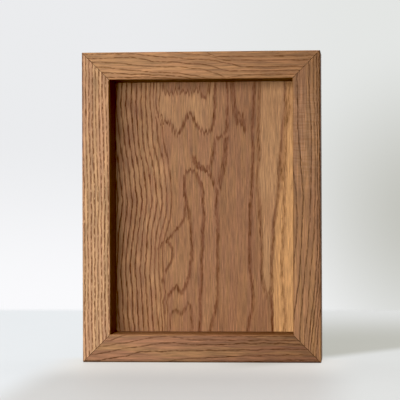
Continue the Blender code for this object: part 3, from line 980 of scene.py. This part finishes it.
def oak(name):
    """Open-grained oak under a thin satin oil, with its ring lines where the "ring" attribute says."""
    board = BOARDS[name]
    made, g = new_material("oak_" + name)
    place = g.millimetres("ZYX" if name.endswith("rail") else "XYZ")

    def grain(across, lengthways, detail=2.0):
        return g.noise(place, (across, across, lengthways), detail, board["shift"])

    drawn, early = ring_marks(g, board, grain)
    if name == "back_panel":
        drawn = g.times(drawn, g.attribute("strength"))
    slits = g.cells(place, (1.1, 1.1, 0.11), board["shift"])
    pore = g.span(g.math("SUBTRACT", g.line(early, 0.0, 1.0, 0.14, 0.42), slits), -0.03, 0.10)

    colour = clear_wood(g, name, place, grain)
    colour = g.mix(g.times(drawn, 0.95), colour, tone(board["dark"]))
    colour = g.mix(g.times(pore, 0.5), colour, tone(board["pore"]))
    # Painted shade and light: the recess and the foot are darkened, the ledge's front is lightened.
    shade_mark = g.attribute("painted_light_and_shade")
    shade = g.times(g.line(shade_mark, 0.0, 1.0, 1.0, 0.46), g.line(shade_mark, -1.0, 0.0, 1.9, 1.0))
    colour = g.shaded(colour, shade)

    fibres = grain(2.4, 0.09, 3.0)
    rough = g.add(g.line(fibres, 0.3, 0.7, 0.52, 0.62), g.times(pore, 0.2))
    height = g.add(g.times(pore, -0.06), g.times(fibres, 0.012))
    g.surface(Base_Color=colour, Roughness=rough, Normal=g.bump(height), Specular_IOR_Level=0.2)
    return made


def ply_edge():
    """The panel's edge: thin crossed plies."""
    made, g = new_material("ply_edge")
    place = g.millimetres()
    plies = g.span(g.math("PINGPONG", g.split(place)["Y"], 1.0), 0.4, 0.6)
    fuzz = g.noise(place, (0.6, 4.0, 0.6), 3.0)
    colour = g.mix(plies, tone("b98f68"), tone("8d6745"))
    colour = g.shaded(colour, g.line(fuzz, 0.3, 0.7, 0.85, 1.1))
    g.surface(Base_Color=colour, Roughness=0.8, Normal=g.bump(g.times(fuzz, 0.05)))
    return made


def beech():
    """Bare pressed beech with its short brown flecks."""
    made, g = new_material("pressed_beech")
    place = g.millimetres()
    flecks = g.cells(place, (1.6, 2.2, 0.5))
    cloud = g.noise(place, 0.12)
    colour = g.mix(g.span(cloud, 0.35, 0.65), tone("d6b08a"), tone("c99f7b"))
    colour = g.mix(g.span(flecks, 0.24, 0.12), colour, tone("a87a56"))
    g.surface(Base_Color=colour, Roughness=0.8, Normal=g.bump(g.times(flecks, 0.03)))
    return made


def zinc():
    """Bright zinc plate, lightly handled: a faint bloom, fine scratches and duller hollows."""
    made, g = new_material("zinc_plate")
    place = g.millimetres()
    bloom = g.noise(place, 0.25, 3.0)
    scratches = g.noise(place, (0.5, 0.5, 9.0))
    grit = g.noise(place, 5.0)
    colour = g.mix(g.span(bloom, 0.35, 0.68), tone("d3d4d2"), tone("b9b7ac"))
    rough = g.add(g.line(bloom, 0.3, 0.7, 0.24, 0.40), g.line(scratches, 0.4, 0.75, 0.0, 0.14))
    height = g.add(g.times(scratches, 0.006), g.times(grit, 0.006))
    g.surface(Base_Color=colour, Metallic=1.0, Roughness=rough, Normal=g.bump(height))
    return made


def rubber():
    """Matt black rubber with a dusty, faintly pebbled skin."""
    made, g = new_material("matt_rubber")
    place = g.millimetres()
    dust = g.noise(place, 0.4, 4.0)
    pebble = g.noise(place, 6.0)
    colour = g.mix(g.span(dust, 0.4, 0.75), tone("2c2a28"), tone("4b4844"))
    rough = g.line(dust, 0.3, 0.7, 0.62, 0.85)
    g.surface(Base_Color=colour, Roughness=rough, Normal=g.bump(g.times(pebble, 0.03)))
    return made


# ---- floor, backdrop, light and camera

# The table's half width, where it fades out, and the middle of the shade beside the box.
TABLE_REACH = 4.0
TABLE_FADE = (0.8, 1.1)
TABLE_SHADE = (0.17, 0.17, 0.0)

WALL_Y = 0.775
WALL_LEFT, WALL_RIGHT, WALL_TOP = -0.7, 0.5, 0.8
# The middle of the painted shadow on the backdrop.
WALL_SHADE = (0.24, WALL_Y, 0.13)


def plane(name, corners, finish):
    mesh = mesh_of(name, corners, [[0, 1, 2, 3]])
    mesh.materials.append(finish)
    made = link(name, mesh)
    return made


def painted_reflection(g, across, back, glow):
    """Painted reflection: the table's glow in front of the box turns darker where it stands for the box
    mirrored a little, and lighter close to the box as painted light against the contact shade.
    """
    patch = g.times(g.span(g.math("ABSOLUTE", across), 0.15, 0.10), g.span(back, 0.05, 0.0))
    patch = g.times(patch, g.span(back, -0.6, -0.35))
    return g.mix(patch, glow, g.mix(g.span(back, -0.2, -0.03), tone("a9a6a2"), tone("c8c5c0")))


def shade_beside(g, place, across, back, glow):
    """The table's tone in the soft shade that falls to the right of the box and behind it."""
    near = g.span(g.measure("DISTANCE", place, TABLE_SHADE), 0.60, 0.06, 0.0, 0.95)
    beside = g.span(g.add(back, g.times(across, -1.5)), -0.17, -0.09)
    beside = g.times(beside, g.span(across, 0.0, 0.1))
    return g.mix(g.times(beside, near), glow, tone("8c8a7c"))


def table():
    """A pale, faintly glowing table, so that the shadow on it stays light. Its glow holds painted light, a
    painted reflection and a painted shade.
    """
    made, g = new_material("pale_table")
    haze = g.noise(g.millimetres(), 0.02)
    place = g.place()
    across, back, _ = g.split(place)
    far = g.span(g.measure("LENGTH", place), *TABLE_FADE)
    colour = g.mix(haze, tone("6b6d6f"), tone("676a6c"))
    colour = g.mix(far, colour, tone("000000"))
    # Painted light: the table's glow is lighter on the left, the side the soft boxes stand on.
    glow = g.mix(g.span(across, -0.2, 0.2), tone("c5c8ca"), tone("b8b8b5"))
    # Painted reflection of the box on the table in front of it.
    glow = painted_reflection(g, across, back, glow)
    glow = shade_beside(g, place, across, back, glow)
    glow = g.mix(far, glow, tone("d8dadb"))
    shine = g.line(far, 0.0, 1.0, 0.2, 0.0)
    g.surface(Base_Color=colour, Roughness=0.55, Specular_IOR_Level=shine,
              Emission_Color=glow, Emission_Strength=1.0)
    x, z = TABLE_REACH, -GAP / 3
    plane("table", [(-x, -x, z), (x, -x, z), (x, x, z), (-x, x, z)], made).visible_diffuse = False


def wall():
    """A pale backdrop that glows by itself, with painted light on its left and lower left and a painted
    shadow to the right of the box. Only the camera sees it, and only from nearly square-on.
    """
    made, g = new_material("pale_wall")
    place = g.place()
    across, _, height = g.split(place)
    # Painted light: lighter on the left, the side the soft boxes stand on, and lighter still low on the
    # left.
    colour = g.mix(g.span(across, -0.2, 0.2), tone("ebecee"), tone("e4e6e4"))
    painted_light_low_left = g.times(g.span(height, 0.25, 0.0), g.span(across, 0.3, -0.1))
    colour = g.mix(painted_light_low_left, colour, tone("fafafc"))
    # Painted shadow of the box on the backdrop, to its right.
    offset = g.measure("DISTANCE", place, WALL_SHADE)
    colour = g.mix(g.span(offset, 0.24, 0.0), colour, tone("c2c2bb"))
    glow = g.node("Emission", {0: colour})
    clear = g.node("BsdfTransparent", {})
    incoming = g.node("NewGeometry", {}, "Incoming")
    square_on = g.span(g.measure("DOT_PRODUCT", incoming, (0.0, -1.0, 0.0)), 0.85, 0.95)
    g.output(g.node("MixShader", {0: square_on, 1: clear, 2: glow}))
    corners = ((WALL_LEFT, 0), (WALL_RIGHT, 0), (WALL_RIGHT, WALL_TOP), (WALL_LEFT, WALL_TOP))
    screen = plane("wall", [(x, WALL_Y, z) for x, z in corners], made)
    for ray in ("shadow", "diffuse", "glossy", "transmission"):
        setattr(screen, "visible_" + ray, False)


CEILING = 2.6
ROOM_BEHIND = 0.5
ROOM_IN_FRONT = 0.004
UNDER_TABLE = 0.4


def surroundings():
    """A bright ceiling and room behind the object, and an almost dark room in front of it."""
    world = bpy.data.worlds.new("room")
    world.use_nodes = True
    bpy.context.scene.world = world
    g = Graph(world.node_tree)
    _, back, up = g.split(g.node("TexCoord", {}, "Generated"))
    behind = g.times(g.span(back, -0.05, 0.35), g.span(up, -0.1, 0.0, UNDER_TABLE, 1.0))
    overhead = g.times(g.span(up, 0.35, 0.9, 0.0, CEILING), g.line(behind, 0.0, 1.0, 0.4, 1.0))
    total = g.add(g.add(overhead, g.times(behind, ROOM_BEHIND)), ROOM_IN_FRONT)
    lit = g.node("Background", {0: tone("ffffff"), 1: total})
    seen = g.node("Background", {0: tone("e8e9ea"), 1: 1.0})
    camera_ray = g.node("LightPath", {}, "Is Camera Ray")
    g.node("OutputWorld", {0: g.node("MixShader", {0: camera_ray, 1: lit, 2: seen})})


# Soft boxes in front: degrees to the left of square-on, distance, height, size and power.
SOFT_BOXES = {
    "window": (6.8, 1.4, 0.24, (0.32, 0.65), 18.0),
    "curtain": (27.0, 1.4, 0.24, (0.65, 0.65), 9.7),
}


def soft_box(name, left, distance, height, size, power):
    lamp = bpy.data.lights.new(name, "AREA")
    lamp.shape = "RECTANGLE"
    lamp.size, lamp.size_y = size
    lamp.energy = power
    lamp.color = tone("fffaf2")[:3]
    made = link(name, lamp)
    turn = math.radians(left)
    made.location = (-distance * math.sin(turn), -distance * math.cos(turn), height)
    towards = Vector((0, 0, HEIGHT / 2)) - made.location
    made.rotation_euler = towards.to_track_quat("-Z", "Y").to_euler()
    made.visible_camera = False


CAMERA_DISTANCE = 1.706
CAMERA_TURN = math.radians(4.84)
CAMERA_RISE = math.radians(0.25)
CAMERA_ROLL = math.radians(-0.22)
AIM = Vector((-0.7 * MM, 0, 6.3 * MM))
LENS = 170.1
F_STOP = 16.0


def camera():
    """A long lens almost square to the front, a little from the right."""
    centre = Vector((0, FRONT, HEIGHT / 2))
    level_part = math.cos(CAMERA_RISE)
    back = Vector((math.sin(CAMERA_TURN) * level_part, -math.cos(CAMERA_TURN) * level_part,
                   math.sin(CAMERA_RISE)))
    data = bpy.data.cameras.new("camera")
    data.lens = LENS
    data.sensor_width = 36.0
    made = link("camera", data)
    made.location = centre + back * CAMERA_DISTANCE
    look = (centre + AIM - made.location).to_track_quat("-Z", "Y")
    made.rotation_euler = (look.to_matrix() @ Matrix.Rotation(CAMERA_ROLL, 3, "Z")).to_euler()
    focus = link("focus", None)
    focus.location = centre
    data.dof.use_dof = True
    data.dof.focus_object = focus
    data.dof.aperture_fstop = F_STOP
    bpy.context.scene.camera = made


BLACK_LEVEL = 0.013


def tone_response():
    """A plain display, with the deepest shadows taken down to black as a camera does."""
    view = bpy.context.scene.view_settings
    view.view_transform = "Standard"
    view.use_curve_mapping = True
    view.curve_mapping.black_level = (BLACK_LEVEL,) * 3


# ---- assembly

joinery = joinery_cutter()
for bar in BARS:
    oak_bar(bar, joinery)
back_panel()

plate = (zinc(), "zinc_plated_steel")
screws(plate)
turn_buttons(plate)
hangers(plate)
bumpers((rubber(), "bumper_rubber"))

pressed_beech = beech()
for name, node in NODES.items():
    if name.startswith("biscuit_"):
        node.data.materials.clear()
        node.data.materials.append(pressed_beech)

table()
wall()
surroundings()
for name, values in SOFT_BOXES.items():
    soft_box(name, *values)
camera()
tone_response()
